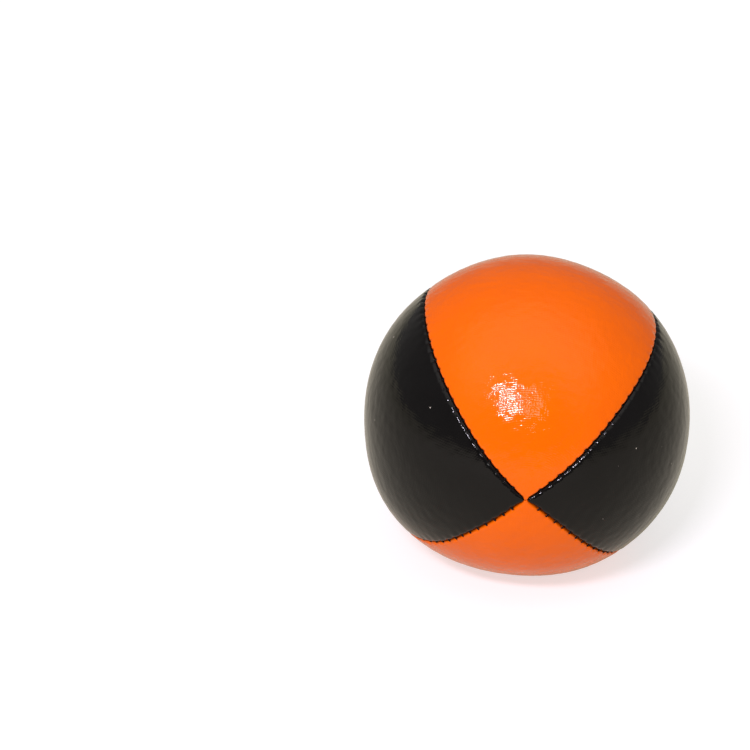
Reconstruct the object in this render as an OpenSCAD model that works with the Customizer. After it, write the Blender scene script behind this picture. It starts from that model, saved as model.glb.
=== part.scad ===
// Four-panel juggling ball: a sewn cover of four gores, turned right side out and packed with millet.
// It rests on Z = 0 with its seam axis, on which the tips of all four panels meet, along Y.

/* [Ball] */
// Outside diameter of the filled ball
ball_d = 64; // [58:0.5:70]
// Diameter of the flat patch that the ball settles on
patch_d = 17; // [8:1:22]
// Turn of the cover about the seam axis, as the ball lies
cover_roll = 4; // [-20:1:20]

/* [Cover] */
// Thickness of the coated fabric
fabric_t = 0.8; // [0.6:0.05:1.1]
// Depth of fabric turned in along each seam
seam_allowance = 4; // [3:0.5:6]
// Gap between the two turned edges of a seam
seam_gap = 0.3; // [0.2:0.05:0.5]
// Radius of the fold along the edge of a panel
fold_r = 0.8; // [0.6:0.1:0.9]

/* [Stitching] */
// Stitch lengths in one seam, from tip to tip
stitches = 44; // [36:2:52]
// Diameter of the sewing thread
thread_d = 0.3; // [0.2:0.05:0.35]
// First stitch of the opening that the ball is filled through
opening_first = 28; // [24:1:30]
// Last stitch of the opening that the ball is filled through
opening_last = 34; // [32:2:38]

/* [Filling] */
// Space between the millet and the cover, its turned edges and its threads
fill_clearance = 0.4; // [0.4:0.05:1]

/* [Hidden] */
$fn = 96;

orange = "#fc6a0c";
black = "#161414";
millet = "#d9b36a";

ball_r = ball_d / 2;
rest_h = sqrt(pow(ball_r, 2) - pow(patch_d / 2, 2));
far = 2 * ball_d;

// Turns about the seam axis that bring a panel's middle to its place, from straight up
top = 0;
right = 90;
bottom = 180;
left = -90;

// Turns about the seam axis that bring a seam to its place, from straight right
upper_left = -135;
upper_right = -45;
lower_left = 135;
lower_right = 45;

// The threads lie in the corner between a panel and its turned edge
thread_r = thread_d / 2;
leg_r = 0.85 * thread_r;
needle_hole_r = leg_r + 0.02;
thread_slack = 0.05;
edge_w = seam_gap / 2 + fabric_t;
rail_w = edge_w + thread_r + 0.02;
stitch_r = ball_r - fabric_t - thread_r - thread_slack;
stitch_step = 180 / stitches;
first_stitch = 1;
last_stitch = stitches - 2;

function stitch_angle(i) = (i + 0.5) * stitch_step - 90;

// The ball shrunk by an inset, flattened where it rests, with its own centre at the origin
module settled(inset) {
    intersection() {
        rotate([90, 0, 0]) sphere(r = ball_r - inset);
        translate([-far / 2, -far / 2, inset - rest_h]) cube(far);
    }
}

// The quarter of space that a panel fills when its middle is straight up, clear of both seam planes
module quarter(inset) {
    rotate([90, 0, 0])
        translate([0, inset * sqrt(2), -far / 2])
            linear_extrude(far) polygon([[0, 0], [far, far], [-far, far]]);
}

// What the fold takes off the square edge of a panel, all round the seam's plane
module fold_cutter() {
    w = seam_gap / 2 + fold_r;
    centre_x = sqrt(pow(ball_r - fold_r, 2) - pow(w, 2));
    beyond = (ball_r + 1) / (ball_r - fold_r);
    rotate_extrude()
        difference() {
            polygon([
                [centre_x, w], [centre_x, -1],
                [centre_x * beyond, -1], [centre_x * beyond, w * beyond]
            ]);
            translate([centre_x, w]) circle(r = fold_r * 1.02);
        }
}

module needle_holes() {
    for (i = [first_stitch : last_stitch])
        rotate([0, 0, stitch_angle(i)])
            translate([stitch_r, 0, 0])
                cylinder(r = needle_hole_r, h = edge_w + 0.1, $fn = 24);
}

// The outside of a panel, with both of its edges folded and pierced, and its middle straight up
module panel_blank() {
    difference() {
        quarter(seam_gap / 2);
        for (side = [0, 1])
            mirror([side, 0, 0]) rotate([0, upper_right, 0]) {
                fold_cutter();
                needle_holes();
            }
    }
}

// A panel in its place: the skin and the two edges turned in towards the middle of the ball
module panel(turn) {
    translate([0, 0, rest_h])
        difference() {
            intersection() {
                settled(0);
                rotate([0, turn + cover_roll, 0]) panel_blank();
            }
            intersection() {
                settled(fabric_t);
                rotate([0, turn + cover_roll, 0]) quarter(edge_w);
            }
            sphere(r = ball_r - seam_allowance);
        }
}

// Puts a shape, drawn in the plane of a seam with the seam's middle on X, in its place
module at_seam(turn) {
    translate([0, 0, rest_h]) rotate([0, turn + cover_roll, 0]) children();
}

// The thread between two stitches on the inner side of a turned edge
module rail(first, last, side) {
    translate([0, 0, side * rail_w])
        rotate([0, 0, stitch_angle(first)])
            rotate_extrude(angle = stitch_angle(last) - stitch_angle(first))
                translate([stitch_r, 0]) circle(r = thread_r, $fn = 24);
}

// The thread through the turned edges at one stitch
module leg(i, low_w, high_w) {
    rotate([0, 0, stitch_angle(i)])
        translate([stitch_r, 0, low_w])
            cylinder(r = leg_r, h = high_w - low_w, $fn = 24);
}

// One thread of a lockstitch: it runs along its own side and dips to the middle of the seam
module lockstitch_run(first, last, side) {
    rail(first, last, side);
    for (i = [first : last])
        leg(i, min(0, side * rail_w), max(0, side * rail_w));
}

// One thread of a machine-sewn seam, left open where the ball is filled
module seam_thread(turn, side) {
    at_seam(turn)
        if (turn == lower_right) {
            lockstitch_run(first_stitch, opening_first - 1, side);
            lockstitch_run(opening_last + 1, last_stitch, side);
        } else {
            lockstitch_run(first_stitch, last_stitch, side);
        }
}

// The hand-sewn thread goes from side to side at each stitch and along the turned edges between
module closing_run() {
    for (i = [opening_first : opening_last - 1])
        rail(i, i + 1, (i - opening_first) % 2 == 0 ? 1 : -1);
    for (i = [opening_first : opening_last])
        leg(i, -rail_w, rail_w);
}

module orange_panel_top() { color(orange) panel(top); }
module orange_panel_bottom() { color(orange) panel(bottom); }
module black_panel_left() { color(black) panel(left); }
module black_panel_right() { color(black) panel(right); }

module needle_thread_upper_left() { color(black) seam_thread(upper_left, 1); }
module needle_thread_upper_right() { color(black) seam_thread(upper_right, 1); }
module needle_thread_lower_left() { color(black) seam_thread(lower_left, 1); }
module needle_thread_lower_right() { color(black) seam_thread(lower_right, 1); }

module bobbin_thread_upper_left() { color(black) seam_thread(upper_left, -1); }
module bobbin_thread_upper_right() { color(black) seam_thread(upper_right, -1); }
module bobbin_thread_lower_left() { color(black) seam_thread(lower_left, -1); }
module bobbin_thread_lower_right() { color(black) seam_thread(lower_right, -1); }

module closing_thread() { color(black) at_seam(lower_right) closing_run(); }

// The millet as one closed volume: a core, and a lobe that fills each panel between its turned edges
module millet_fill() {
    color(millet) translate([0, 0, rest_h]) {
        sphere(r = ball_r - seam_allowance - fill_clearance);
        for (turn = [top, right, bottom, left])
            intersection() {
                settled(fabric_t + fill_clearance);
                rotate([0, turn + cover_roll, 0]) quarter(edge_w + fill_clearance);
            }
    }
}

orange_panel_top();
orange_panel_bottom();
black_panel_left();
black_panel_right();
needle_thread_upper_left();
needle_thread_upper_right();
needle_thread_lower_left();
needle_thread_lower_right();
bobbin_thread_upper_left();
bobbin_thread_upper_right();
bobbin_thread_lower_left();
bobbin_thread_lower_right();
closing_thread();
millet_fill();
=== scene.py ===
"""A sewn, seed-filled juggling ball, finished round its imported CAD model."""

import math
from types import SimpleNamespace

import bpy
import numpy as np
from mathutils import Matrix, Vector, kdtree


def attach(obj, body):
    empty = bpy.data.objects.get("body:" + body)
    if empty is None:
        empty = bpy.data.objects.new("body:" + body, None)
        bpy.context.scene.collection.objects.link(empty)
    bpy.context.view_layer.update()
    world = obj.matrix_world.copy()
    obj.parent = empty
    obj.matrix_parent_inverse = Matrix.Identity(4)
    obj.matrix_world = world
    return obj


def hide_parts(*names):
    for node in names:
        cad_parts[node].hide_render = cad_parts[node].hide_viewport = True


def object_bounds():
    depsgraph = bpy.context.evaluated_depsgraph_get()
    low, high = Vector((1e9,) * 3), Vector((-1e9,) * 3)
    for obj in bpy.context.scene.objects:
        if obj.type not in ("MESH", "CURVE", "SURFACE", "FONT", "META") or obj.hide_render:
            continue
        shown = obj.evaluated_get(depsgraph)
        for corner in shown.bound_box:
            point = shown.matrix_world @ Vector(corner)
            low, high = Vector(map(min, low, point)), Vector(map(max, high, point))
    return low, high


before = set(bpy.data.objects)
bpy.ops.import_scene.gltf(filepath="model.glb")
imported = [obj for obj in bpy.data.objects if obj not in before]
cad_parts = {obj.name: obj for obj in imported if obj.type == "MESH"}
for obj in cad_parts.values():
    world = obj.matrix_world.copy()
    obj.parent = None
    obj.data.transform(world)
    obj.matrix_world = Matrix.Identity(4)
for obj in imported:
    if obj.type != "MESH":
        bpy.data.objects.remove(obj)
cad_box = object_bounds()

bl_info = {
    "name": "Juggling Ball",
    "version": (1, 0, 0),
    "blender": (4, 5, 0),
    "location": "View3D > Sidebar > Ball",
    "description": "Builds a four-panel, seed-filled juggling ball",
    "category": "Add Mesh",
}

MM = 0.001
BALL_R = (cad_box[1].x - cad_box[0].x) / 2
CENTRE = Vector((0, 0, cad_box[1].z - BALL_R))

# Each panel's slot, and the turn of its middle from straight up about the seam axis, in degrees
PANELS = {
    "orange_panel_top": ("orange_coated_fabric", 0),
    "black_panel_right": ("black_coated_fabric", 90),
    "orange_panel_bottom": ("orange_coated_fabric", 180),
    "black_panel_left": ("black_coated_fabric", 270),
}
# The turn of each seam, and of the way from the bobbin's side to the needle's
SEAMS = {
    "upper_right": (45, -1),
    "lower_right": (135, -1),
    "lower_left": (225, -1),
    "upper_left": (315, -1),
}
OPEN_SEAM, OPEN_STITCHES = "lower_right", range(28, 35)  # closed by hand after the ball was filled
# How far off its true line each seam was sewn, in degrees: at the front crossing, a quarter and half of the
# way to the back crossing
ASKEW = {
    "upper_right": (3.5, 0, 1.2),
    "lower_right": (-6.5, 0, 0),
    "lower_left": (-3, -3, 0),
    "upper_left": (-4, 0, 1.2),
}
ASKEW_AT, ASKEW_REACH = (0, 0.75, 1.5), (0.5, 0.3, 0.7)  # radians from the front crossing

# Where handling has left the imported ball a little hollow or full: a direction, mm outwards, and its reach in
# radians
HANDLED = (
    ((0.41, 0.46, 0.79), -0.45, 0.35),
    ((-0.41, 0.46, 0.79), -0.45, 0.35),
    ((-0.65, 0.38, 0.66), -0.3, 0.3),
    ((-0.1, -0.5, -0.86), -0.35, 0.35),
    ((-0.78, -0.31, -0.54), 0.45, 0.4),
    ((0.82, -0.26, -0.5), -0.15, 0.35),
)
# Out of round, in mm: square along the seams, the orange pair flatter, and the settled millet's belly
SQUARE, FLATTER, BELLY = 0.15, 0.1, 0.5
PACKING_LIMIT = 0.35  # mm that the packing may move the cover
PACKING_FRAMES = 20
FORM = "cover_form"
FORM_RINGS, FORM_SEGMENTS = 44, 96
FLOOR_SOFTNESS = 0.12  # mm over which the cover eases on to the floor

GRAINS = 2900  # millet grains that would lie against a cover without seams
GRAIN_SCATTER = 0.009  # their disorder, in ball radii
SEAM_CLEARANCE = 2.6  # mm from a seam to the nearest grain that presses the cloth
GRAIN_REACH = 0.85  # mm round a grain's middle where it presses the cloth

EIGHTH, QUARTER = math.pi / 4, math.pi / 2


def linear(code):
    """A colour's linear values from its sRGB hex code."""
    values = [int(code[i : i + 2], 16) / 255 for i in (1, 3, 5)]
    return tuple(v / 12.92 if v <= 0.04045 else ((v + 0.055) / 1.055) ** 2.4 for v in values)


# ---------------------------------------------------------------- settings


def length(name, description, default, low, high):
    """A length setting, from its sizes in mm."""
    return bpy.props.FloatProperty(
        name=name, description=description, subtype="DISTANCE",
        default=default * MM, min=low * MM, max=high * MM,
    )


def colour(name, description, code):
    """A colour setting, from its sRGB hex code."""
    return bpy.props.FloatVectorProperty(
        name=name, description=description, default=linear(code), size=3, min=0, max=1, subtype="COLOR"
    )


def radiance(name, description, default):
    """A brightness setting of the stage."""
    return bpy.props.FloatProperty(name=name, description=description, default=default, min=0)


class BallShape(bpy.types.PropertyGroup):
    """Sizes of the ball."""

    radius: length("Radius", "Radius of the filled ball", BALL_R / MM, 20, 50)
    roll: bpy.props.FloatProperty(
        name="Cover roll", description="Turn of the cover about its seam axis",
        default=math.radians(4), subtype="ANGLE",
    )
    fabric: length("Fabric", "Thickness of the coated fabric", 0.8, 0.3, 1.5)
    allowance: length("Seam allowance", "Depth of fabric turned in at a seam", 4, 2, 8)
    orange_fold: length("Orange fold", "Radius of the fold along an orange edge", 0.5, 0.4, 1.5)
    black_fold: length("Black fold", "Radius of the fold along a black edge", 1.0, 0.4, 1.5)
    slit: length("Slit", "Half of the gap between two panels below their folds", 0.05, 0.02, 0.3)
    stitches: bpy.props.IntProperty(
        name="Stitches", description="Stitch lengths in a seam, tip to tip", default=44, min=40, max=80
    )
    thread: length("Thread", "Diameter of the sewing thread", 0.3, 0.1, 0.6)
    orange_pucker: length("Orange pucker", "How far a stitch draws an orange fold in", 0.2, 0, 0.5)
    black_pucker: length("Black pucker", "How far a stitch draws a black fold in", 0.12, 0, 0.5)
    askew: bpy.props.FloatProperty(
        name="Askew", description="How far the seams wander from their true lines, as a share",
        default=1, min=0, max=2, subtype="FACTOR",
    )
    grain: length("Grain", "Width of a millet grain", 2.1, 1.5, 3)
    seed: bpy.props.IntProperty(name="Seed", description="Seed of every random draw", default=7)


LENGTHS = (
    "radius", "fabric", "allowance", "orange_fold", "black_fold", "slit", "thread",
    "orange_pucker", "black_pucker", "grain",
)


def in_mm(shape):
    """The ball's settings as plain numbers, with its lengths in millimetres."""
    sizes = SimpleNamespace(**{key: getattr(shape, key) for key in BallShape.__annotations__})
    for key in LENGTHS:
        setattr(sizes, key, getattr(sizes, key) / MM)
    return sizes


class BallColours(bpy.types.PropertyGroup):
    """Colours of the ball's materials."""

    orange: colour("Orange", "Orange coating", "#f16700")
    black: colour("Black", "Black coating", "#0a0909")
    thread: colour("Thread", "Sewing thread", "#070606")
    millet: colour("Millet", "Millet hulls", "#d9b36a")


class StudioLight(bpy.types.PropertyGroup):
    """Light of the stage, as radiance."""

    key: radiance("Key", "Radiance of the small softbox", 103.0)
    fill: radiance("Fill", "Radiance of the dim softbox", 8.0)
    front: radiance("Front", "Room light from the camera's side", 0.1)
    behind: radiance("Behind", "Room light from behind", 0.28)
    over: radiance("Over", "Room light from overhead", 1.2)


# ---------------------------------------------------------------- small helpers


def deselect():
    """Leaves nothing selected, so that an operator acts only on what it makes."""
    if bpy.context.object and bpy.context.object.mode != "OBJECT":
        bpy.ops.object.mode_set(mode="OBJECT")
    bpy.ops.object.select_all(action="DESELECT")


def vertices(mesh):
    """A mesh's vertices as an array of points."""
    points = np.empty(len(mesh.vertices) * 3)
    mesh.vertices.foreach_get("co", points)
    return points.reshape(-1, 3)


def new_piece(name, points, faces, material, uv=None):
    """A smooth mesh object from points in metres and faces; uv is each point's place on the cloth, in mm."""
    mesh = bpy.data.meshes.new(name)
    mesh.from_pydata(points, [], faces)
    if uv is not None:
        layer = mesh.uv_layers.new(name="cloth")
        corner = np.empty(len(mesh.loops), dtype=np.int32)
        mesh.loops.foreach_get("vertex_index", corner)
        layer.data.foreach_set("uv", np.asarray(uv, dtype=np.float32)[corner].ravel())
    mesh.polygons.foreach_set("use_smooth", [True] * len(mesh.polygons))
    mesh.materials.append(material)
    mesh.update()
    piece = bpy.data.objects.new(name, mesh)
    bpy.context.collection.objects.link(piece)
    return piece


def loops_joined(rings, size):
    """Quads joining rings of points laid one after the other, size points in each."""
    row = np.arange(rings - 1)[:, None] * size
    ahead = row + size
    k = np.arange(size)[None, :]
    n = (k + 1) % size
    return np.stack([row + k, row + n, ahead + n, ahead + k], axis=-1).reshape(-1, 4)


# ---------------------------------------------------------------- the ball's form


def outward(path):
    """Unit directions away from the ball's centre, at each point of a path in metres."""
    out = path - np.array(CENTRE)
    return out / np.linalg.norm(out, axis=1)[:, None]


def way(theta, lon):
    """Unit directions from the ball's centre: theta from the front crossing, lon from straight up."""
    ring = np.sin(theta)
    return np.stack(
        [ring * np.sin(lon), -np.cos(theta) * np.ones_like(lon), ring * np.cos(lon)], axis=-1
    )


class Form:
    """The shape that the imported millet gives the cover, and where the stitches and the grains are."""

    def __init__(self, shape):
        self.shape = shape
        self.r = shape.radius
        self.floor = -CENTRE.z / MM
        self.roll = shape.roll
        self.step = math.pi / shape.stitches
        self.stitch = (np.arange(1, shape.stitches - 1) + 0.5) * self.step
        draw = np.random.default_rng(shape.seed)
        self.pull = {name: draw.uniform(0.65, 1.3, len(self.stitch)) for name in SEAMS}
        self.wander = {name: draw.uniform(0, 2 * math.pi, 4) for name in SEAMS}
        self.grains = self.scattered(draw)
        self.tree = kdtree.KDTree(len(self.grains))
        for i, grain in enumerate(self.grains):
            self.tree.insert(grain, i)
        self.tree.balance()
        self.field = self.packed()

    def scattered(self, draw):
        """Directions of the millet grains that lie against the cover, clear of the seams. They are spread
        on a golden spiral, then disordered."""
        i = np.arange(GRAINS) + 0.5
        lift = 1 - 2 * i / GRAINS
        turn = math.pi * (1 + 5**0.5) * i
        flat = np.sqrt(1 - lift**2)
        spots = np.stack([flat * np.cos(turn), flat * np.sin(turn), lift], axis=-1)
        spots = spots + draw.normal(0, GRAIN_SCATTER, spots.shape)
        spots /= np.linalg.norm(spots, axis=1)[:, None]
        lon = np.arctan2(spots[:, 0], spots[:, 2]) - self.roll
        ring = np.sqrt(1 - spots[:, 1] ** 2)
        off = ring * np.abs(np.sin(lon % QUARTER - EIGHTH))
        return spots[off * self.r > SEAM_CLEARANCE]

    def packed(self):
        """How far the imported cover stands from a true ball, in mm, on the rings and segments of its form."""
        field = np.zeros((FORM_RINGS + 1, FORM_SEGMENTS, 3))
        if FORM not in bpy.data.meshes:
            return field
        points = (vertices(bpy.data.meshes[FORM]) - np.array(CENTRE)) / MM
        for point, (i, j) in zip(points, form_index(points)):
            theta, lon = i * math.pi / FORM_RINGS, j * 2 * math.pi / FORM_SEGMENTS
            moved = point - way(np.array([theta]), np.array([lon]))[0] * self.r
            if i in (0, FORM_RINGS):
                field[i, :] = moved
            else:
                field[i, j] = moved
        return field

    def shift(self, theta, lon):
        """The cover's shift at these places, in mm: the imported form's, by smooth cubic steps between its
        points, then the flat patch's that it rests on."""
        x, y = theta / math.pi * FORM_RINGS, lon / (2 * math.pi) * FORM_SEGMENTS
        i, j = np.floor(x).astype(int), np.floor(y).astype(int)
        x, y = x - i, y - j

        def weights(t):
            """Cubic weights of four points in a row, at a share t of the way between the middle two."""
            return (
                (-t + 2 * t**2 - t**3) / 2,
                (2 - 5 * t**2 + 3 * t**3) / 2,
                (t + 4 * t**2 - 3 * t**3) / 2,
                (-(t**2) + t**3) / 2,
            )

        total = 0
        for a, wx in zip((-1, 0, 1, 2), weights(x)):
            row = np.clip(i + a, 0, FORM_RINGS)
            for b, wy in zip((-1, 0, 1, 2), weights(y)):
                total = total + (wx * wy)[..., None] * self.field[row, (j + b) % FORM_SEGMENTS]
        above = (self.r * way(theta, lon) + total)[..., 2] - self.floor
        total[..., 2] += (np.sqrt(above**2 + FLOOR_SOFTNESS**2) - above) / 2
        return total

    def place(self, theta, lon, depth):
        """Points in metres in the frame: depth mm under the cover at these places."""
        theta, lon, depth = np.broadcast_arrays(theta, lon, depth)
        p = (self.r - depth)[..., None] * way(theta, lon) + self.shift(theta, lon)
        p[..., 2] = np.maximum(p[..., 2], self.floor)
        return p * MM + np.array(CENTRE)

    def in_seam(self, name, theta, aside, depth):
        """Points in metres: aside mm towards the needle's side of a seam's plane, depth mm under the
        cover."""
        side = SEAMS[name][1]
        theta, aside, depth = np.broadcast_arrays(theta, aside, depth)
        reach = np.clip(aside / ((self.r - depth) * np.sin(theta)), -0.9, 0.9)
        return self.place(theta, self.seam_lon(name, theta) + side * np.arcsin(reach), depth)

    def seam_lon(self, name, theta):
        """Longitude of a seam, which wanders a little as hand-guided sewing does."""
        wander = 0
        for turn, middle, reach in zip(ASKEW[name], ASKEW_AT, ASKEW_REACH):
            near = np.exp(-(((theta - middle) / reach) ** 2))
            wander = wander + math.radians(self.shape.askew * turn) * near
        return math.radians(SEAMS[name][0]) + self.roll + wander

    def drawn(self, name, theta, width):
        """From 0 between a seam's stitches to about 1 at each, over width mm."""
        away = (np.asarray(theta)[:, None] - self.stitch[None, :]) * self.r / width
        return (np.exp(-(away**2)) * self.pull[name][None, :]).sum(axis=1)

    def pressed(self, theta, lon):
        """From 0 between the grains to 1 over one that presses the cloth out."""
        spots = way(theta, lon).reshape(-1, 3)
        height = np.empty(len(spots))
        near = GRAIN_REACH / self.r
        for i, spot in enumerate(spots):
            height[i] = sum(math.exp(-((d / near) ** 2)) for _, _, d in self.tree.find_n(spot, 3))
        return height.reshape(theta.shape)


def form_index(points):
    """The ring and the segment of each point of the cover's form."""
    spots = points / np.linalg.norm(points, axis=1)[:, None]
    ring = np.rint(np.arccos(np.clip(-spots[:, 1], -1, 1)) / math.pi * FORM_RINGS).astype(int)
    lon = np.arctan2(spots[:, 0], spots[:, 2])
    return zip(ring, np.rint(lon / (2 * math.pi) * FORM_SEGMENTS).astype(int) % FORM_SEGMENTS)


class BALL_OT_form(bpy.types.Operator):
    """Packs a plain cover with millet by cloth simulation, for the panels to follow."""

    bl_idname = "ball.form"
    bl_label = "Packed form"

    def execute(self, context):
        shape = context.scene.ball_shape
        deselect()
        bpy.ops.mesh.primitive_uv_sphere_add(
            segments=FORM_SEGMENTS, ring_count=FORM_RINGS, radius=shape.radius, location=CENTRE,
            rotation=(math.pi / 2, 0, 0),
        )
        bag = context.object
        bpy.ops.object.transform_apply(location=True, rotation=True)
        start = vertices(bag.data) - np.array(CENTRE)
        lon = np.arctan2(start[:, 0], start[:, 2]) - shape.roll
        spots = start / shape.radius
        ring = 1 - spots[:, 1] ** 2
        # Four flat-cut panels make a slightly square ball: it stands out along the seams, most across the
        # orange panels, which are the flatter pair
        square = -SQUARE * np.cos(4 * lon) * (0.65 + 0.35 * np.cos(2 * lon)) * ring
        flatter = -FLATTER * (1 + np.cos(2 * lon)) / 2 * ring
        # The millet settles, so the ball is widest a little below its middle
        low = np.clip(-spots[:, 2], 0, 1)
        handled = BELLY * np.sin(math.pi * np.clip(low * 1.1, 0, 1)) ** 2 * ring
        for spot, height, reach in HANDLED:
            spot = np.array(Vector(spot).normalized())
            handled += height * np.exp(-((np.arccos(np.clip(spots @ spot, -1, 1)) / reach) ** 2))
        points = start + spots * ((square + flatter + handled) * MM)[:, None] + np.array(CENTRE)
        bag.data.vertices.foreach_set("co", points.ravel())
        bag.data.update()
        self.simulate(context, bag, points)
        bag.data.name = FORM
        bag.data.use_fake_user = True
        bpy.data.objects.remove(bag)
        return {"FINISHED"}

    def simulate(self, context, bag, points):
        """Lets the millet's pressure round the bag out, and keeps each point near its start. The growth
        of the whole bag is taken off, because the ball keeps its size."""
        cloth = bag.modifiers.new("packing", "CLOTH")
        cloth.settings.use_pressure = True
        cloth.settings.uniform_pressure_force = 4
        cloth.settings.effector_weights.gravity = 0
        cloth.settings.quality = 6
        cloth.settings.tension_stiffness = 40
        cloth.settings.compression_stiffness = 40
        cloth.settings.bending_stiffness = 2
        cloth.point_cache.frame_start, cloth.point_cache.frame_end = 1, PACKING_FRAMES
        for step in range(1, PACKING_FRAMES + 1):
            context.scene.frame_set(step)
        bpy.context.view_layer.objects.active = bag
        bpy.ops.object.modifier_apply(modifier=cloth.name)
        context.scene.frame_set(1)
        moved = vertices(bag.data) - points
        moved -= (points - np.array(CENTRE)) * ((moved * points).sum() / (points * points).sum())
        far = np.linalg.norm(moved, axis=1)[:, None]
        cap = PACKING_LIMIT * MM
        moved *= np.tanh(far / cap) * cap / np.maximum(far, 1e-9)
        bag.data.vertices.foreach_set("co", (points + moved).ravel())
        bag.data.update()


# ---------------------------------------------------------------- materials


def add(tree, kind, links=(), **settings):
    """Adds a shader node, sets its fields and inputs by name, and links (input, source socket) pairs."""
    node = tree.nodes.new("ShaderNode" + kind)
    for key, value in settings.items():
        if hasattr(node, key):
            setattr(node, key, value)
        else:
            node.inputs[key.replace("_", " ")].default_value = value
    for target, source in links:
        tree.links.new(source, node.inputs[target])
    return node


def new_material(name):
    """A named material with an empty tree, its output node and the tree."""
    material = bpy.data.materials.new(name)
    material.use_nodes = True
    tree = material.node_tree
    tree.nodes.clear()
    return material, tree, tree.nodes.new("ShaderNodeOutputMaterial")


def coated_fabric(name, fresh, worn, sheen, roughness, specular, dust, weave, crackle, dimples):
    """Woven polyester under a thin, glossy polyurethane skin: the weave shows through the skin as fine
    cross ribs, the skin is a little cloudy, and it is rubbed duller where the ball is handled."""
    pitch = 0.42  # mm between weft threads
    warp_share, warp_height = 0.8, 0.22  # of the weft's count and of its height
    bend = 0.25  # mm that a thread line wanders
    material, tree, output = new_material(name)
    cloth = add(tree, "UVMap", uv_map="cloth").outputs["UV"]
    place = add(tree, "TexCoord").outputs["Object"]
    split = add(tree, "SeparateXYZ", [("Vector", cloth)])

    def thread_lines(axis, share):
        """A wave across the cloth for each thread, along lines that wander a little."""
        wander = add(tree, "TexNoise", [("Vector", cloth)], Scale=0.9, Detail=2.0)
        bent = add(
            tree, "Math", [(0, wander.outputs["Fac"]), (2, split.outputs[axis])], operation="MULTIPLY_ADD"
        )
        bent.inputs[1].default_value = bend
        scaled = add(tree, "Math", [(0, bent.outputs[0])], operation="MULTIPLY")
        scaled.inputs[1].default_value = 2 * math.pi / pitch * share
        return add(tree, "Math", [(0, scaled.outputs[0])], operation="SINE").outputs[0]

    weft = thread_lines("Y", 1.0)
    warp = thread_lines("X", warp_share)
    thinned = add(tree, "TexNoise", [("Vector", cloth)], Scale=0.35, Detail=3.0, Roughness=0.6)
    ribs = add(tree, "Math", [(0, weft), (1, thinned.outputs["Fac"])], operation="MULTIPLY")
    cross = add(tree, "Math", [(0, warp), (2, ribs.outputs[0])], operation="MULTIPLY_ADD")
    cross.inputs[1].default_value = warp_height
    woven = add(tree, "Bump", [("Height", cross.outputs[0])], Strength=1.0, Distance=weave * MM)
    # The skin's own unevenness: a fine crackle at 0.9 mm, and soft dimples about 2 mm across
    peel = add(tree, "TexNoise", [("Vector", place)], Scale=1 / (0.9 * MM), Detail=1.0)
    crackled = add(
        tree, "Bump", [("Height", peel.outputs["Fac"]), ("Normal", woven.outputs[0])],
        Strength=0.8, Distance=crackle * MM,
    )
    dimple = add(tree, "TexNoise", [("Vector", place)], Scale=1 / (2.2 * MM), Detail=1.5, Roughness=0.4)
    dimpled = add(
        tree, "Bump", [("Height", dimple.outputs["Fac"]), ("Normal", crackled.outputs[0])],
        Strength=0.8, Distance=dimples * MM,
    )
    # Handling leaves cloudy patches about 9 mm across in the skin
    cloud = add(tree, "TexNoise", [("Vector", place)], Scale=1 / (9 * MM), Detail=4.0, Roughness=0.55)
    shade = add(
        tree, "MapRange", [("Value", cloud.outputs["Fac"])],
        From_Min=0.35, From_Max=0.7, To_Min=0.0, To_Max=1.0,
    )
    tint = add(
        tree, "Mix", [("Factor", shade.outputs[0])], data_type="RGBA", A=(*fresh, 1), B=(*worn, 1)
    )
    # A few specks of lint, up to 0.4 mm across, that the skin picks up: each cell's own draw sets their size
    lint = add(tree, "TexVoronoi", [("Vector", place)], Scale=1 / (2.6 * MM), Randomness=1.0)
    chance = add(tree, "SeparateXYZ", [("Vector", lint.outputs["Color"])])
    size = add(
        tree, "MapRange", [("Value", chance.outputs["X"])],
        From_Min=0.45, From_Max=1.0, To_Min=0.0, To_Max=0.08,
    )
    speck = add(
        tree, "Math", [(0, lint.outputs["Distance"]), (1, size.outputs[0])], operation="LESS_THAN"
    )
    weight = add(tree, "Math", [(0, speck.outputs[0])], operation="MULTIPLY")
    weight.inputs[1].default_value = dust
    dusted = add(
        tree, "Mix", [("Factor", weight.outputs[0]), ("A", tint.outputs["Result"])],
        data_type="RGBA", B=(*linear("#b9b2a8"), 1),
    )
    rough = add(
        tree, "MapRange", [("Value", cloud.outputs["Fac"])],
        From_Min=0.3, From_Max=0.7, To_Min=roughness - 0.03, To_Max=roughness + 0.05,
    )
    skin = add(
        tree, "BsdfPrincipled",
        [
            ("Base Color", dusted.outputs["Result"]),
            ("Roughness", rough.outputs[0]),
            ("Normal", dimpled.outputs[0]),
        ],
        IOR=1.5, Specular_IOR_Level=specular, Specular_Tint=(*sheen, 1),
    )
    tree.links.new(skin.outputs[0], output.inputs["Surface"])
    return material


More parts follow.
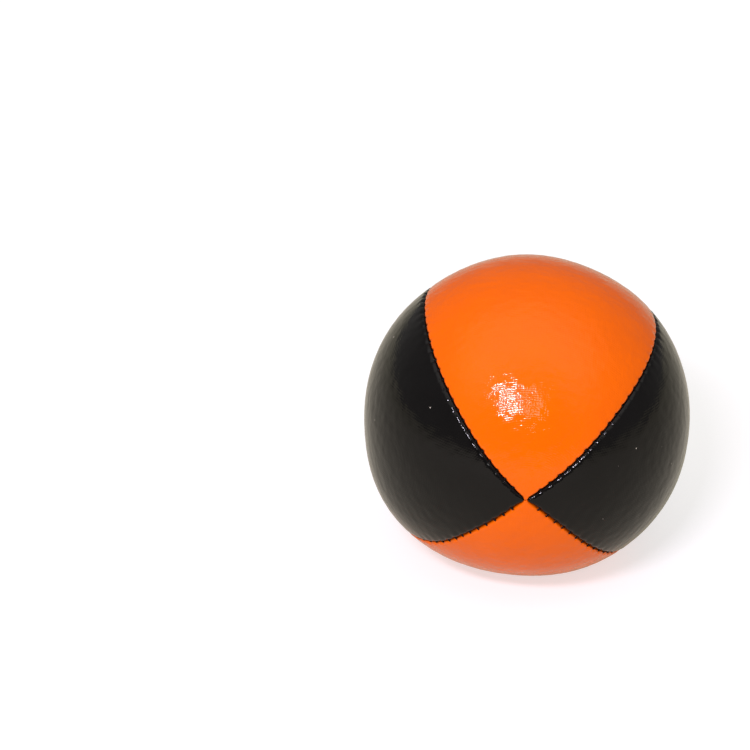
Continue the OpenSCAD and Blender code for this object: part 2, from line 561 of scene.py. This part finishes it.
def polyester_thread(dye):
    """Bonded polyester sewing thread: filaments twisted round it, with a faint wax shine."""
    material, tree, output = new_material("bonded_polyester_thread")
    cloth = add(tree, "UVMap", uv_map="cloth").outputs["UV"]
    split = add(tree, "SeparateXYZ", [("Vector", cloth)])
    # Filament bundles 0.05 mm wide would not show, so they are drawn 0.1 mm wide
    lay = add(tree, "Math", [(0, split.outputs["X"]), (1, split.outputs["Y"])], operation="ADD")
    scaled = add(tree, "Math", [(0, lay.outputs[0])], operation="MULTIPLY")
    scaled.inputs[1].default_value = 2 * math.pi / 0.1
    wave = add(tree, "Math", [(0, scaled.outputs[0])], operation="SINE")
    bump = add(tree, "Bump", [("Height", wave.outputs[0])], Strength=0.5, Distance=0.02 * MM)
    place = add(tree, "TexCoord").outputs["Object"]
    fade = add(tree, "TexNoise", [("Vector", place)], Scale=1 / (1.5 * MM), Detail=2.0)
    faded = tuple(c * 1.9 for c in dye)
    tint = add(
        tree, "Mix", [("Factor", fade.outputs["Fac"])], data_type="RGBA", A=(*dye, 1), B=(*faded, 1)
    )
    thread = add(
        tree, "BsdfPrincipled", [("Base Color", tint.outputs["Result"]), ("Normal", bump.outputs[0])],
        Roughness=0.45, IOR=1.5, Specular_IOR_Level=0.2,
    )
    tree.links.new(thread.outputs[0], output.inputs["Surface"])
    return material


def millet_hull(straw):
    """Dry millet: smooth waxy hulls, each grain a shade of its own from straw to tan."""
    material, tree, output = new_material("millet_hull")
    place = add(tree, "TexCoord").outputs["Object"]
    grain = add(tree, "TexVoronoi", [("Vector", place)], Scale=1 / (2.1 * MM), Randomness=1.0)
    tone = add(tree, "SeparateXYZ", [("Vector", grain.outputs["Color"])])
    tint = add(
        tree, "Mix", [("Factor", tone.outputs["X"])],
        data_type="RGBA", A=(*straw, 1), B=(*linear("#b07a34"), 1),
    )
    fine = add(tree, "TexNoise", [("Vector", place)], Scale=1 / (0.3 * MM), Detail=2.0)
    bump = add(tree, "Bump", [("Height", fine.outputs["Fac"])], Strength=0.4, Distance=0.03 * MM)
    hull = add(
        tree, "BsdfPrincipled", [("Base Color", tint.outputs["Result"]), ("Normal", bump.outputs[0])],
        Roughness=0.38, IOR=1.5,
    )
    tree.links.new(hull.outputs[0], output.inputs["Surface"])
    return material


# ---------------------------------------------------------------- the cover


# Rings and points of a panel's mesh: round a fold, down an allowance, across the skin, and to a stitch length
FOLD_STEPS, FIN_STEPS, ACROSS, RINGS_A_STITCH = 8, 3, 56, 12

# All in mm
ORANGE_TIP, BLACK_TIP = 0.12, 0.42  # from a crossing to a panel's tip
TIP_LEAN = 0.45  # reach of the orange pair's meeting at a crossing
PINCH_WIDTH, DIP_WIDTH = 0.3, 0.75  # along the seam that a stitch draws the fold and the skin in
DIP = 0.06  # that a stitch draws the skin in beside the fold
RIPPLE, RIPPLE_PITCHES = 0.01, (3.1, 4.7, 7.3, 11.9)  # unevenness of the sewn edge
DIP_FADE, RIPPLE_FADE = 1.1, 3.0  # from the fold across the skin
ORANGE_GRAINS, BLACK_GRAINS = 0.054, 0.032  # that the millet presses the skin out
GRAIN_FADE = 2.5  # beside a seam, where the doubled cloth is stiffer
MEAN_PRESS = 0.35  # share of the press that the skin's mean height already has


class BALL_OT_panels(bpy.types.Operator):
    """Makes the four panels: gores of coated fabric, folded in along both edges and drawn in at each
    stitch."""

    bl_idname = "ball.panels"
    bl_label = "Panels"

    def execute(self, context):
        colours = context.scene.ball_colours
        form = Form(in_mm(context.scene.ball_shape))
        skins = {
            "orange_coated_fabric": coated_fabric(
                "orange_pu_coated_fabric", colours.orange, worn=linear("#ec6403"), sheen=linear("#ffe9db"),
                roughness=0.08, specular=0.28, dust=0.0, weave=0.0105, crackle=0.06, dimples=0.13,
            ),
            "black_coated_fabric": coated_fabric(
                "black_pu_coated_fabric", colours.black, worn=linear("#0e0d0d"), sheen=linear("#ffffff"),
                roughness=0.09, specular=0.22, dust=0.8, weave=0.008, crackle=0.015, dimples=0.09,
            ),
        }
        for name, (slot, turn) in PANELS.items():
            piece = self.panel(name, turn, slot.startswith("orange"), form, skins[slot])
            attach(piece, "root")
            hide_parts(name)
        return {"FINISHED"}

    def panel(self, name, turn, meets, form, material):
        """One gore, as two faces of cloth swept from tip to tip. The orange pair meet at the crossings,
        and the black pair stop just short of them."""
        shape = form.shape
        tip = ORANGE_TIP if meets else BLACK_TIP
        count = shape.stitches * RINGS_A_STITCH
        theta = np.linspace(tip / form.r, math.pi - tip / form.r, count + 1)
        from_tip = np.minimum(theta, math.pi - theta) * form.r
        lean = EIGHTH * np.exp(-((from_tip / TIP_LEAN) ** 2)) * (1 if meets else -1)
        ring = np.sin(theta)[:, None]
        mid = math.radians(turn) + form.roll
        bend = shape.orange_fold if meets else shape.black_fold
        pucker = shape.orange_pucker if meets else shape.black_pucker

        # The path across the cloth: down in the left seam, over its fold, across, and down the right seam
        fold = np.linspace(QUARTER, 0, FOLD_STEPS + 1)
        fin = np.arange(FIN_STEPS) / FIN_STEPS
        across = (np.arange(ACROSS) + 1) * 2 / (ACROSS + 1) - 1
        edge = FIN_STEPS + FOLD_STEPS + 1
        width = 2 * edge + ACROSS

        draws, halves = {}, {}
        for side in (-1, 1):
            seam = next(n for n, (t, _) in SEAMS.items() if t == (turn + side * 45) % 360)
            true_line = math.radians(SEAMS[seam][0]) + form.roll
            askew = side * (form.seam_lon(seam, theta) - true_line)
            halves[side] = (EIGHTH + askew + lean)[:, None]
            ripple = sum(
                np.sin(theta * form.r / pitch * 2 * math.pi + phase)
                for pitch, phase in zip(RIPPLE_PITCHES, form.wander[seam])
            )
            draws[side] = (
                form.drawn(seam, theta, PINCH_WIDTH)[:, None],
                form.drawn(seam, theta, DIP_WIDTH)[:, None],
                ripple[:, None] / len(RIPPLE_PITCHES),
            )

        def layer(under):
            """(longitude, depth, cloth u) of one face of the cloth, under mm below the other."""
            lon = np.zeros((len(theta), width))
            depth = np.zeros_like(lon)
            u = np.zeros_like(lon)
            for side in (-1, 1):
                half, (pinch, dip, ripple) = halves[side], draws[side]
                # The fold is smaller near a tip, where there's no room for it, and the inner face of the
                # cloth turns on 0.15 mm at least
                radius = np.minimum(bend, 0.75 * form.r * ring * np.sin(half))
                inner = np.maximum(radius - under, 0.15)

                def off_seam(aside, down):
                    """Longitude from the panel's middle, aside mm from the seam's plane, down mm deep."""
                    reach = form.r - down
                    aside = np.minimum(aside, 0.9 * reach * ring * np.sin(half))
                    return half - np.arcsin(aside / (reach * ring))

                # A stitch draws the fold in most on its way down into the seam
                angle = fold[None, :]
                draw_in = pucker * pinch * np.sin(1.6 * angle)
                aside = shape.slit + under + inner * (1 - np.sin(angle)) + draw_in * np.sin(angle)
                down = under + inner * (1 - np.cos(angle)) + draw_in * np.cos(angle)
                down = down + (DIP * dip + RIPPLE * ripple) * np.cos(angle)
                deep = shape.allowance + (down[:, :1] - shape.allowance) * fin[None, :]
                aside = np.concatenate([np.repeat(aside[:, :1], FIN_STEPS, axis=1), aside], axis=1)
                down = np.concatenate([deep, down], axis=1)
                brow = off_seam(np.minimum(shape.slit, radius) + under + inner, under)
                run = np.concatenate([radius * QUARTER + deep - radius, radius * angle], axis=1)
                where = slice(0, edge) if side < 0 else slice(width - edge, width)
                order = slice(None) if side < 0 else slice(None, None, -1)
                lon[:, where] = (side * off_seam(aside, down))[:, order]
                depth[:, where] = down[:, order]
                u[:, where] = (side * (form.r * ring * brow + run))[:, order]
                flat = np.flatnonzero(across * side > 0) + edge
                share = np.abs(across[flat - edge])[None, :]
                away = form.r * ring * brow * (1 - share)
                lon[:, flat] = side * share * brow
                drawn_in = DIP * dip * np.exp(-away / DIP_FADE)
                depth[:, flat] = under + drawn_in + RIPPLE * ripple * np.exp(-away / RIPPLE_FADE)
                u[:, flat] = form.r * ring * lon[:, flat]
            return lon, depth, u

        places = np.repeat(theta[:, None], width, axis=1)
        skin = slice(edge, edge + ACROSS)
        outer, inner = layer(0.0), layer(shape.fabric)
        press = form.pressed(places[:, skin], outer[0][:, skin] + mid)
        away = form.r * ring * EIGHTH * (1 - np.abs(across[None, :]))
        height = (ORANGE_GRAINS if meets else BLACK_GRAINS) * (press - MEAN_PRESS)
        bumps = height * (1 - np.exp(-((away / GRAIN_FADE) ** 2)))
        cloth = []
        for lon, depth, u in (outer, inner):
            depth[:, skin] -= bumps
            cloth.append(form.place(places, lon + mid, depth))
        points = np.concatenate([cloth[0], cloth[1][:, ::-1]], axis=1)
        u = np.concatenate([outer[2], inner[2][:, ::-1]], axis=1)
        uv = np.stack([u, np.repeat(theta[:, None] * form.r, 2 * width, axis=1)], axis=-1)
        faces = loops_joined(len(theta), 2 * width).tolist()
        last = (len(theta) - 1) * 2 * width
        for k in range(width - 1):
            ends = [k, k + 1, 2 * width - 2 - k, 2 * width - 1 - k]
            faces.append(ends[::-1])
            faces.append([last + n for n in ends])
        return new_piece(name + "_cloth", points.reshape(-1, 3), faces, material, uv.reshape(-1, 2))


# ---------------------------------------------------------------- thread and filling


PLIES, TWIST, THREAD_SIDES = 3, 1.1, 12  # twist in mm a turn
# All in mm, under the cover or from the middle of a seam
STITCH_DEPTH = 1.05  # of a thread where it lies inside the allowance
STITCH_RISE = {"upper": 0.56, "lower": 0.68}  # into the groove at each stitch
STITCH_WIDTH = 0.2  # along the seam over which it rises
PULL_RISE = 0.12  # less rise where a stitch was pulled tight
THREAD_GAP = 0.02  # left beside a thread


def thread_tube(path, width):
    """Points, faces and cloth places of a closed three-ply thread along a path in metres."""
    sides = THREAD_SIDES
    ahead = np.gradient(path, axis=0)
    ahead /= np.linalg.norm(ahead, axis=1)[:, None]
    beside = np.cross(ahead, outward(path))
    beside /= np.linalg.norm(beside, axis=1)[:, None]
    above = np.cross(ahead, beside)
    run = np.concatenate([[0], np.cumsum(np.linalg.norm(np.diff(path, axis=0), axis=1))]) / MM
    angle = np.arange(sides) * 2 * math.pi / sides
    # The plies stand out as lobes that wind round the thread
    spin = run[:, None] * 2 * math.pi / TWIST
    radius = width / 2 * (0.92 + 0.1 * np.cos(PLIES * (angle[None, :] - spin)))
    # Each end closes over two rings
    ends = np.minimum(np.arange(len(path)), np.arange(len(path))[::-1])
    radius = radius * np.clip(0.35 + 0.4 * ends, 0, 1)[:, None] * MM
    points = (
        path[:, None, :]
        + beside[:, None, :] * (radius * np.cos(angle))[..., None]
        + above[:, None, :] * (radius * np.sin(angle))[..., None]
    )
    faces = loops_joined(len(path), sides).tolist()
    faces.append(list(range(sides))[::-1])
    last = (len(path) - 1) * sides
    faces.append([last + k for k in range(sides)])
    u = np.repeat((angle * width / 2)[None, :], len(path), axis=0)
    uv = np.stack([u, np.repeat(run[:, None], sides, axis=1)], axis=-1)
    return points.reshape(-1, 3), faces, uv.reshape(-1, 2)


def joined_tubes(tubes):
    """One mesh's points, faces and cloth places from several closed tubes."""
    points, faces, uv, at = [], [], [], 0
    for p, f, c in tubes:
        points.append(p)
        uv.append(c)
        faces += [[at + k for k in face] for face in f]
        at += len(p)
    return np.concatenate(points), faces, np.concatenate(uv)


class BALL_OT_seam_threads(bpy.types.Operator):
    """Makes the lockstitch of each machine-sewn seam: a needle thread on one side, a bobbin thread on the
    other."""

    bl_idname = "ball.seam_threads"
    bl_label = "Seam threads"

    def execute(self, context):
        shape = in_mm(context.scene.ball_shape)
        form = Form(shape)
        material = polyester_thread(context.scene.ball_colours.thread)
        for seam in SEAMS:
            for kind, side in (("needle", 1), ("bobbin", -1)):
                every = range(len(form.stitch))
                runs = [every]
                if seam == OPEN_SEAM:
                    runs = [every[: OPEN_STITCHES.start - 1], every[OPEN_STITCHES.stop - 1 :]]
                tubes = [self.run(form, seam, side, stitches) for stitches in runs]
                name = "%s_thread_%s" % (kind, seam)
                points, faces, uv = joined_tubes(tubes)
                piece = new_piece(name + "_ply", points, faces, material, uv)
                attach(piece, "root")
                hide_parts(name)
        return {"FINISHED"}

    def run(self, form, seam, side, stitches):
        """One thread over some stitches: it lies inside the allowance, and rises into the groove at each
        stitch."""
        shape = form.shape
        lie = shape.slit + shape.fabric + shape.thread / 2 + THREAD_GAP
        steps = np.array([-0.5, -0.32, -0.2, -0.14, -0.1, -0.06, -0.03, 0, 0.03, 0.06, 0.1, 0.14, 0.2, 0.32])
        centres = form.stitch[list(stitches)]
        theta = (centres[:, None] + steps[None, :] * form.step).ravel()
        pull = np.repeat(form.pull[seam][list(stitches)], len(steps))
        away = np.tile(steps, len(centres)) * form.step * form.r
        rise = np.exp(-((away / STITCH_WIDTH) ** 2))
        aside = side * (lie * (1 - rise) + THREAD_GAP)
        height = STITCH_RISE[seam.split("_")[0]] - PULL_RISE * (pull - 1)
        depth = STITCH_DEPTH - height * rise**0.7
        return thread_tube(form.in_seam(seam, theta, aside, depth), shape.thread)


class BALL_OT_closing_thread(bpy.types.Operator):
    """Sews the filling opening shut by hand: a thread that crosses from side to side, knotted at both
    ends."""

    bl_idname = "ball.closing_thread"
    bl_label = "Closing thread"

    def execute(self, context):
        shape = in_mm(context.scene.ball_shape)
        form = Form(shape)
        material = bpy.data.materials["bonded_polyester_thread"]
        first, last = OPEN_STITCHES.start - 1, OPEN_STITCHES.stop - 2
        # Two crossings to a stitch length, with nine points to each: 0.72 mm to either side, and from
        # 0.2 mm deep in the groove to 0.82 mm under the folds
        crossings = (last - first) * 2
        fine = np.linspace(0, crossings, crossings * 9 + 1)
        theta = form.stitch[first] + fine / 2 * form.step
        swing = np.cos(math.pi * fine)
        aside = 0.72 * np.sign(swing) * np.abs(swing) ** 0.7
        depth = 0.2 + 0.62 * np.abs(swing) ** 1.6
        tubes = [thread_tube(form.in_seam(OPEN_SEAM, theta, aside, depth), shape.thread)]
        for end in (theta[0], theta[-1]):
            tubes.append(self.knot(form, end))
        points, faces, uv = joined_tubes(tubes)
        piece = new_piece("closing_thread_ply", points, faces, material, uv)
        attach(piece, "root")
        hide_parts("closing_thread")
        return {"FINISHED"}

    def knot(self, form, theta):
        """A small overhand knot lying in the groove, cut where the two ends of its loop would meet."""
        cut, size = 0.12, 0.17
        t = np.linspace(cut, 2 * math.pi + cut, 60)[:-1]
        along = (np.sin(t) + 2 * np.sin(2 * t)) * size
        aside = (np.cos(t) - 2 * np.cos(2 * t)) * size
        depth = 0.3 + np.sin(3 * t) * 0.14
        path = form.in_seam(OPEN_SEAM, theta + along / form.r, aside, depth)
        return thread_tube(path, form.shape.thread * 0.8)


GRAIN_SHAPE = (1.0, 0.95, 0.86)
BODY_RINGS, BODY_SEGMENTS = 60, 192
# All in mm, from the outside of the cover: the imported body's depth, and more where the allowances hang in it
BODY_DEPTH, GROOVE_DEPTH, GROOVE_WIDTH, GROOVE_EASE = 2.7, 1.8, 2.3, 0.5


class BALL_OT_filling(bpy.types.Operator):
    """Fills the cover with millet: one body of packed grain, with single grains laid over it where it meets
    the cloth."""

    bl_idname = "ball.filling"
    bl_label = "Filling"

    def execute(self, context):
        shape = in_mm(context.scene.ball_shape)
        form = Form(shape)
        material = millet_hull(context.scene.ball_colours.millet)
        deselect()
        # Modelled once: a grain with few faces, because it is repeated over the whole body
        bpy.ops.mesh.primitive_uv_sphere_add(segments=6, ring_count=4, radius=shape.grain / 2 * MM)
        grain = context.object
        grain.scale = GRAIN_SHAPE
        bpy.ops.object.transform_apply(scale=True)
        one = vertices(grain.data)
        one_faces = [list(face.vertices) for face in grain.data.polygons]
        bpy.data.objects.remove(grain)
        draw = np.random.default_rng(shape.seed + 1)

        spots = form.grains
        theta = np.arccos(-spots[:, 1])
        lon = np.arctan2(spots[:, 0], spots[:, 2]) % (2 * math.pi)
        centres = form.place(theta, lon, shape.fabric + shape.grain / 2 * 0.92)
        floor = (form.floor + shape.fabric + shape.grain / 2) * MM + CENTRE.z
        centres[:, 2] = np.maximum(centres[:, 2], floor)
        points, faces = [], []
        for i, centre in enumerate(centres):
            up = Vector(spots[i]).to_track_quat("Z", "Y").to_matrix()
            turned = up @ Matrix.Rotation(draw.uniform(0, 2 * math.pi), 3, "Z")
            lean = Matrix.Rotation(draw.uniform(-0.4, 0.4), 3, "X")
            scale = draw.uniform(0.9, 1.05)
            points.append(one @ np.array(turned @ lean).T * scale + centre)
            faces += [[i * len(one) + k for k in face] for face in one_faces]
        base = len(centres) * len(one)

        theta = np.linspace(0, math.pi, BODY_RINGS + 1)[1:-1]
        lon = np.arange(BODY_SEGMENTS) * 2 * math.pi / BODY_SEGMENTS + form.roll
        theta, lon = np.meshgrid(theta, lon, indexing="ij")
        off = (shape.radius - 3) * np.sin(theta) * np.abs(np.sin((lon - form.roll) % QUARTER - EIGHTH))
        groove = np.clip((GROOVE_WIDTH - off) / GROOVE_EASE, 0, 1)
        body = form.place(theta, lon, BODY_DEPTH + GROOVE_DEPTH * groove).reshape(-1, 3)
        body[:, 2] = np.maximum(body[:, 2], floor)
        poles = form.place(np.array([0.0, math.pi]), np.zeros(2), BODY_DEPTH + GROOVE_DEPTH)
        points += [body, poles]
        faces += (loops_joined(BODY_RINGS - 1, BODY_SEGMENTS) + base).tolist()
        front, end = base + len(body), base + (BODY_RINGS - 2) * BODY_SEGMENTS
        for k in range(BODY_SEGMENTS):
            n = (k + 1) % BODY_SEGMENTS
            faces.append([base + n, base + k, front])
            faces.append([end + k, end + n, front + 1])
        piece = new_piece("millet_filling", np.concatenate(points), faces, material)
        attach(piece, "root")
        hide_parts("millet_fill")
        return {"FINISHED"}


# ---------------------------------------------------------------- stage


# The camera: its direction and distance from the ball's middle in degrees and metres, which way it looks
# back along, in degrees, and its lens and film in mm
CAMERA_AT, CAMERA_DISTANCE = (-0.6, 29.95), 0.544
CAMERA_HEADING, CAMERA_PITCH = 3.03, 29.17
CAMERA_LENS, CAMERA_FILM = 132.4, 36
LIGHT_DISTANCE = 0.58


class BALL_OT_stage(bpy.types.Operator):
    """Sets a pale floor, soft studio light and the camera."""

    bl_idname = "ball.stage"
    bl_label = "Stage"

    def execute(self, context):
        studio = context.scene.studio_light
        scene = context.scene
        scene.view_settings.view_transform = "Standard"
        deselect()
        bpy.ops.mesh.primitive_circle_add(vertices=96, radius=4, fill_type="NGON", location=(0, 0, 0))
        floor = context.object
        floor.name = "studio_floor"
        floor.data.materials.append(self.paper())
        self.room(scene, studio)

        spot = CENTRE + self.way_from_ball(*CAMERA_AT) * CAMERA_DISTANCE
        back = self.way_from_ball(CAMERA_HEADING, CAMERA_PITCH)
        heading = math.radians(CAMERA_HEADING)
        right = Vector((math.cos(heading), math.sin(heading), 0))
        up = back.cross(right)
        bpy.ops.object.camera_add()
        camera = context.object
        camera.data.lens = CAMERA_LENS
        camera.data.sensor_width = CAMERA_FILM
        camera.data.clip_start = 0.01
        camera.data.clip_end = 50
        camera.matrix_world = Matrix(
            [(right[k], up[k], back[k], spot[k]) for k in range(3)] + [(0, 0, 0, 1)]
        )
        scene.camera = camera
        key, fill = self.way_from_ball(-15.5, 40.5), self.way_from_ball(4, 37)
        self.softbox(context, "key", key, (0.145, 0.055), studio.key, linear("#f6edff"))
        self.softbox(context, "fill", fill, (0.1, 0.1), studio.fill, linear("#fffbfb"))
        return {"FINISHED"}

    def way_from_ball(self, azimuth, elevation):
        """The unit direction at these angles in degrees, from straight in front and from level."""
        a, e = math.radians(azimuth), math.radians(elevation)
        return Vector((math.sin(a) * math.cos(e), -math.cos(a) * math.cos(e), math.sin(e)))

    def softbox(self, context, name, toward, size, strength, hue):
        """A soft light, its size in metres across and up, that faces the ball."""
        bpy.ops.object.light_add(type="AREA", location=CENTRE + toward * LIGHT_DISTANCE)
        light = context.object
        light.name = name
        light.data.shape = "RECTANGLE"
        light.data.color = hue
        light.data.size, light.data.size_y = size
        light.data.energy = strength * math.pi * size[0] * size[1]
        light.rotation_euler = toward.to_track_quat("Z", "Y").to_euler()

    def paper(self):
        """Matt white background paper that glows a little, as on a light table, with a stronger painted glow
        that only the camera sees.
        """
        material, tree, output = new_material("background_paper")
        place = add(tree, "TexCoord").outputs["Object"]
        fibre = add(tree, "TexNoise", [("Vector", place)], Scale=1 / (3 * MM), Detail=4.0)
        bump = add(tree, "Bump", [("Height", fibre.outputs["Fac"])], Strength=0.1, Distance=0.02 * MM)
        # Painted light: the glow that only the camera sees rises from 0.63 near the ball to 0.84 farther out,
        # making up for the studio light falling off across the paper, so that it looks evenly white
        away = add(tree, "VectorMath", [(0, place)], operation="LENGTH")
        painted_even_glow = add(
            tree, "MapRange", [("Value", away.outputs["Value"])], interpolation_type="SMOOTHSTEP",
            From_Min=0.1, From_Max=0.6, To_Min=0.63, To_Max=0.84,
        )
        # Only the camera sees the full white glow. What the paper throws on the ball is weaker and warmer,
        # so that it doesn't wash the ball's colours out
        seen = add(tree, "LightPath").outputs["Is Camera Ray"]
        glow = add(tree, "Mix", [("Factor", seen), ("B", painted_even_glow.outputs[0])], A=0.28)
        matt, hue = (
            add(
                tree, "Mix", [("Factor", seen)],
                data_type="RGBA", A=(*linear(thrown), 1), B=(*linear(watched), 1),
            )
            for thrown, watched in (("#bcb9b0", "#bcbcbc"), ("#fff6d0", "#ffffff"))
        )
        paper = add(
            tree, "BsdfPrincipled",
            [
                ("Normal", bump.outputs[0]),
                ("Emission Strength", glow.outputs["Result"]),
                ("Emission Color", hue.outputs["Result"]),
                ("Base Color", matt.outputs["Result"]),
            ],
            Roughness=0.9, Specular_IOR_Level=0.0,
        )
        tree.links.new(paper.outputs[0], output.inputs["Surface"])
        return material

    def room(self, scene, studio):
        """Even room light, dimmer from the front, where the camera stands."""
        world = bpy.data.worlds.new("studio_room")
        world.use_nodes = True
        tree = world.node_tree
        tree.nodes.clear()
        place = add(tree, "TexCoord").outputs["Generated"]

        def toward(elevation, start, end):
            """From 0 away from this direction to 1 near it, between two cosines of the angle."""
            facing = add(tree, "VectorMath", [(0, place)], operation="DOT_PRODUCT")
            facing.inputs[1].default_value = self.way_from_ball(0, elevation)
            share = add(
                tree, "MapRange", [("Value", facing.outputs["Value"])], interpolation_type="SMOOTHSTEP",
                From_Min=start, From_Max=end,
            )
            return share.outputs[0]

        over = add(tree, "Mix", [("Factor", toward(70, 0.55, 0.95))], A=studio.behind, B=studio.over)
        front = add(
            tree, "Mix", [("Factor", toward(28, 0.72, 0.95)), ("A", over.outputs["Result"])], B=studio.front
        )
        room = add(
            tree, "Background", [("Strength", front.outputs["Result"])], Color=(*linear("#fffaf5"), 1)
        )
        wall = add(tree, "Background", Color=(*linear("#ffffff"), 1), Strength=1.0)
        seen = add(tree, "LightPath").outputs["Is Camera Ray"]
        mix = add(tree, "MixShader", [(0, seen), (1, room.outputs[0]), (2, wall.outputs[0])])
        output = tree.nodes.new("ShaderNodeOutputWorld")
        tree.links.new(mix.outputs[0], output.inputs["Surface"])
        scene.world = world


# ---------------------------------------------------------------- panel and run


class BALL_PT_builder(bpy.types.Panel):
    """The builder's steps and settings."""

    bl_idname = "BALL_PT_builder"
    bl_label = "Juggling Ball"
    bl_space_type = "VIEW_3D"
    bl_region_type = "UI"
    bl_category = "Ball"

    def draw(self, context):
        for step in STEPS:
            self.layout.operator(step.bl_idname)
        for group in ("ball_shape", "ball_colours", "studio_light"):
            settings = getattr(context.scene, group)
            box = self.layout.box()
            for key in settings.bl_rna.properties.keys():
                if key not in ("rna_type", "name"):
                    box.prop(settings, key)


STEPS = (
    BALL_OT_form, BALL_OT_panels, BALL_OT_seam_threads, BALL_OT_closing_thread, BALL_OT_filling, BALL_OT_stage
)
GROUPS = {"ball_shape": BallShape, "ball_colours": BallColours, "studio_light": StudioLight}


def register():
    for item in (*GROUPS.values(), *STEPS, BALL_PT_builder):
        bpy.utils.register_class(item)
    for key, group in GROUPS.items():
        setattr(bpy.types.Scene, key, bpy.props.PointerProperty(type=group))


def unregister():
    for key in GROUPS:
        delattr(bpy.types.Scene, key)
    for item in (BALL_PT_builder, *reversed(STEPS), *GROUPS.values()):
        bpy.utils.unregister_class(item)


def main():
    """Makes the ball and its stage."""
    register()
    for step in STEPS:
        group, name = step.bl_idname.split(".")
        getattr(getattr(bpy.ops, group), name)()


if __name__ == "__main__":
    main()
